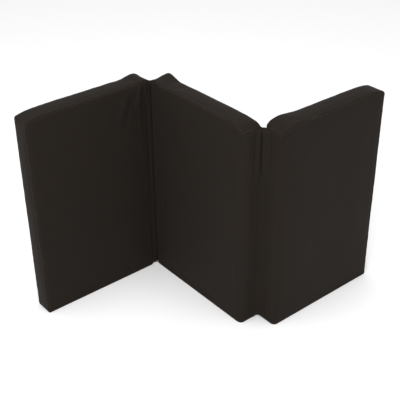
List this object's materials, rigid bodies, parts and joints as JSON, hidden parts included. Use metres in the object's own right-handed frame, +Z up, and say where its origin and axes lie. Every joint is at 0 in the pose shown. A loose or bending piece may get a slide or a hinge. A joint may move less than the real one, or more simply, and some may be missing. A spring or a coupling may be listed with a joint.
{
  "type": "futon mattress",
  "caption": "Folding foam futon mattress of three cloth-covered pads hinged by cloth folds on alternate faces, standing on its long edge in a zigzag.",
  "frame": {"origin": "centre of the bounding box at the floor, which is also the middle of the middle pad's long bottom edge face", "axes": "+Z up with the mattress standing on its long edge; +X along the middle pad from the left fold to the right fold; -Y out of the middle pad's front face"},
  "size_m": [0.8476, 1.3754, 0.991],
  "materials": {
    "cover_cloth": "matte woven polyester in a very dark brown, near black",
    "seam_cloth": "the same cloth rolled and stitched at the folds",
    "foam": "open-cell polyurethane foam, cream",
    "fire_barrier_knit": "thin white knitted fire-barrier sock",
    "zip_tape": "black woven zip tape with a nylon coil",
    "zip_metal": "dark lacquered zinc",
    "label_satin": "blank off-white satin"
  },
  "bodies": {
    "left_pad": {"left_foam_core": "foam", "left_foam_liner": "fire_barrier_knit", "left_front_panel": "cover_cloth", "left_back_panel": "cover_cloth", "left_left_end": "cover_cloth", "left_right_end": "cover_cloth", "left_top_boxing": "cover_cloth", "left_bottom_boxing_front": "cover_cloth", "left_bottom_boxing_back": "cover_cloth", "left_zip_front_tape": "zip_tape", "left_zip_back_tape": "zip_tape", "left_zip_open_stop": "zip_metal", "left_zip_shut_stop": "zip_metal", "left_fold_strip_left": "seam_cloth", "care_label": "label_satin"},
    "middle_pad": {"middle_foam_core": "foam", "middle_foam_liner": "fire_barrier_knit", "middle_front_panel": "cover_cloth", "middle_back_panel": "cover_cloth", "middle_left_end": "cover_cloth", "middle_right_end": "cover_cloth", "middle_top_boxing": "cover_cloth", "middle_bottom_boxing_front": "cover_cloth", "middle_bottom_boxing_back": "cover_cloth", "middle_zip_front_tape": "zip_tape", "middle_zip_back_tape": "zip_tape", "middle_zip_open_stop": "zip_metal", "middle_zip_shut_stop": "zip_metal", "left_fold_strip_middle": "seam_cloth", "right_fold_strip_middle": "seam_cloth", "left_fold_seam": "seam_cloth", "right_fold_seam": "seam_cloth"},
    "right_pad": {"right_foam_core": "foam", "right_foam_liner": "fire_barrier_knit", "right_front_panel": "cover_cloth", "right_back_panel": "cover_cloth", "right_left_end": "cover_cloth", "right_right_end": "cover_cloth", "right_top_boxing": "cover_cloth", "right_bottom_boxing_front": "cover_cloth", "right_bottom_boxing_back": "cover_cloth", "right_zip_front_tape": "zip_tape", "right_zip_back_tape": "zip_tape", "right_zip_open_stop": "zip_metal", "right_zip_shut_stop": "zip_metal", "right_fold_strip_right": "seam_cloth"},
    "left_zip_slider": {"left_zip_slider": "zip_metal"},
    "left_zip_pull": {"left_zip_pull": "zip_metal"},
    "middle_zip_slider": {"middle_zip_slider": "zip_metal"},
    "middle_zip_pull": {"middle_zip_pull": "zip_metal"},
    "right_zip_slider": {"right_zip_slider": "zip_metal"},
    "right_zip_pull": {"right_zip_pull": "zip_metal"}
  },
  "joints": [
    {"name": "left_fold", "type": "hinge", "parent": "middle_pad", "child": "left_pad", "pos_m": [-0.31883, -0.054, 0.4955], "axis": [0, 0, 1], "range_deg": [-90, 90]},
    {"name": "right_fold", "type": "hinge", "parent": "middle_pad", "child": "right_pad", "pos_m": [0.31883, 0.054, 0.4955], "axis": [0, 0, 1], "range_deg": [-90, 90]},
    {"name": "left_zip_slide", "type": "slide", "parent": "left_pad", "child": "left_zip_slider", "axis": [0, -1, 0], "range_m": [0, 0.493]},
    {"name": "left_zip_pull_hinge", "type": "hinge", "parent": "left_zip_slider", "child": "left_zip_pull", "pos_m": [-0.37283, -0.114, 0.0029], "axis": [1, 0, 0], "range_deg": [0, 150]},
    {"name": "middle_zip_slide", "type": "slide", "parent": "middle_pad", "child": "middle_zip_slider", "axis": [-1, 0, 0], "range_m": [0, 0.493]},
    {"name": "middle_zip_pull_hinge", "type": "hinge", "parent": "middle_zip_slider", "child": "middle_zip_pull", "pos_m": [0.25883, 0, 0.0029], "axis": [0, -1, 0], "range_deg": [0, 150]},
    {"name": "right_zip_slide", "type": "slide", "parent": "right_pad", "child": "right_zip_slider", "axis": [0, -1, 0], "range_m": [0, 0.493]},
    {"name": "right_zip_pull_hinge", "type": "hinge", "parent": "right_zip_slider", "child": "right_zip_pull", "pos_m": [0.37283, 0.63167, 0.0029], "axis": [1, 0, 0], "range_deg": [0, 150]}
  ]
}
